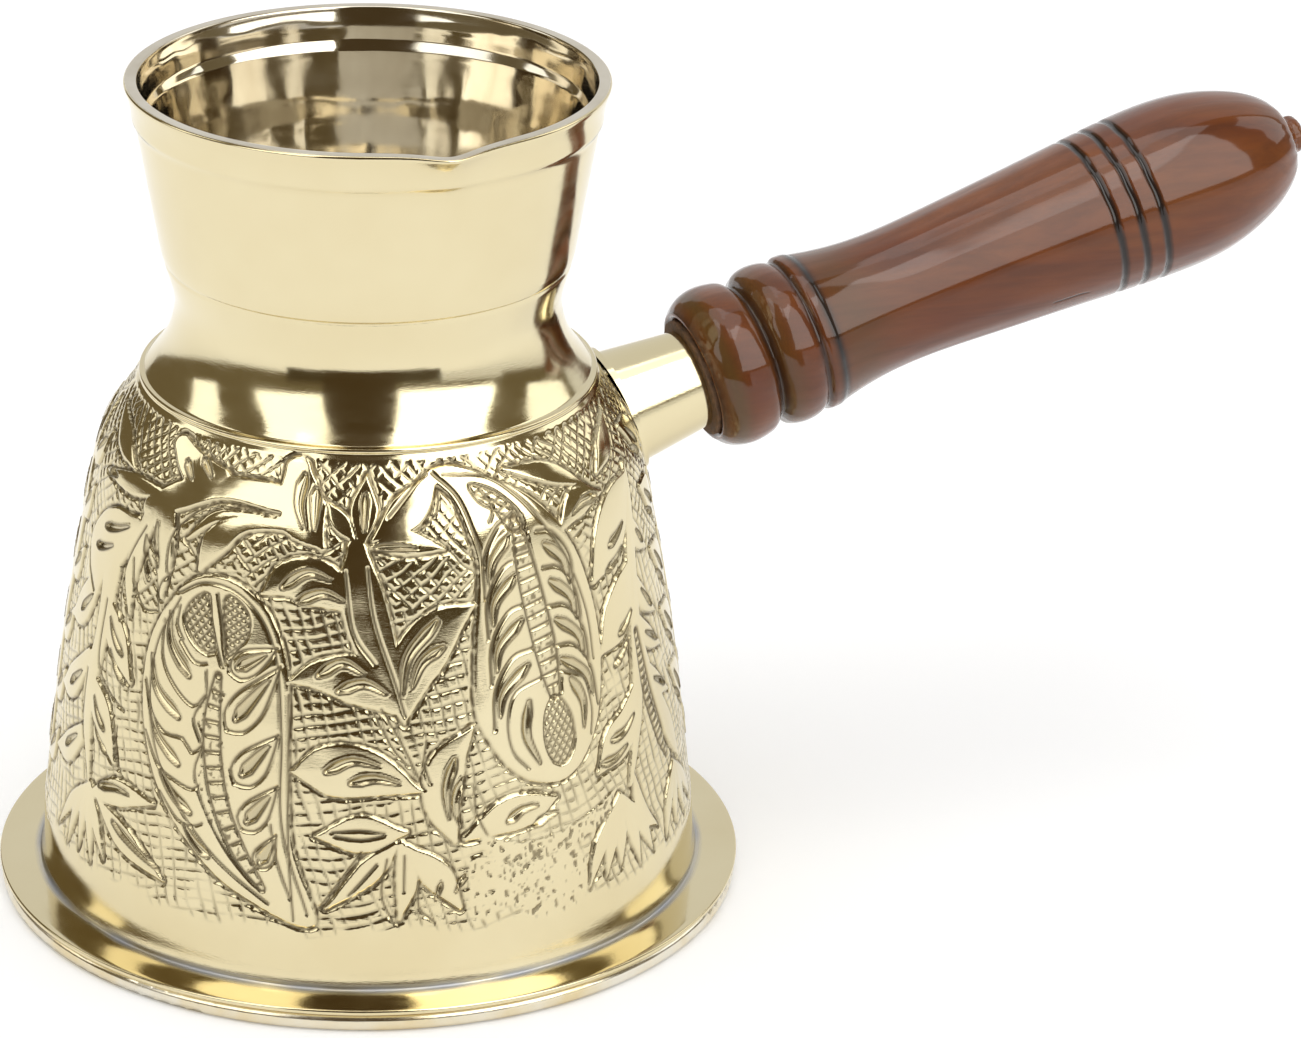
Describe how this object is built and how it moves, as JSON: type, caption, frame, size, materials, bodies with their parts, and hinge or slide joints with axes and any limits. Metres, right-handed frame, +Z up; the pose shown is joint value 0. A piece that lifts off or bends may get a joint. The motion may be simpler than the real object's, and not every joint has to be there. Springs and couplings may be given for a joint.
{
  "type": "turkish coffee pot",
  "caption": "Chased brass coffee pot with a bell-shaped body, waisted neck, pouring lip and flanged base, and a turned wooden handle that unscrews from its brass socket.",
  "frame": {"origin": "centre of the underside of the base, on the pot's axis", "axes": "+Z up along the pot's axis, +X out along the handle, seen from above, and the pouring lip along -Y"},
  "size_m": [0.1918, 0.1028, 0.115],
  "materials": {
    "chased_brass": "polished, with dark patina in the chasing",
    "tin": "bright wiped tin, slightly wavy",
    "base_brass": "polished, pale and slightly tinned at the edge",
    "solder": "dull grey soft solder",
    "plain_brass": "polished",
    "leather": "rough, dark from heat",
    "handle_wood": "red-brown stain under glossy lacquer",
    "stud_steel": "zinc-plated thread"
  },
  "bodies": {
    "pot": {"pot_body": "chased_brass", "tin_lining": "tin", "base_plate": "base_brass", "base_solder": "solder", "handle_socket": "plain_brass", "socket_braze": "plain_brass", "socket_bush": "plain_brass"},
    "washer": {"leather_washer": "leather"},
    "handle": {"wooden_handle": "handle_wood", "handle_stud": "stud_steel"}
  },
  "joints": [
    {"name": "handle_turn", "type": "hinge", "parent": "pot", "child": "washer", "pos_m": [0.04703, 0, 0.06614], "axis": [0.9636, 0, 0.2672], "range_deg": [0, 3240]},
    {"name": "handle_travel", "type": "slide", "parent": "washer", "child": "handle", "axis": [0.9636, 0, 0.2672], "range_m": [0, 0.009]}
  ],
  "couplings": [
    {"joint": "handle_turn", "follows": "handle_travel", "rad_per_m": 6283.2}
  ]
}
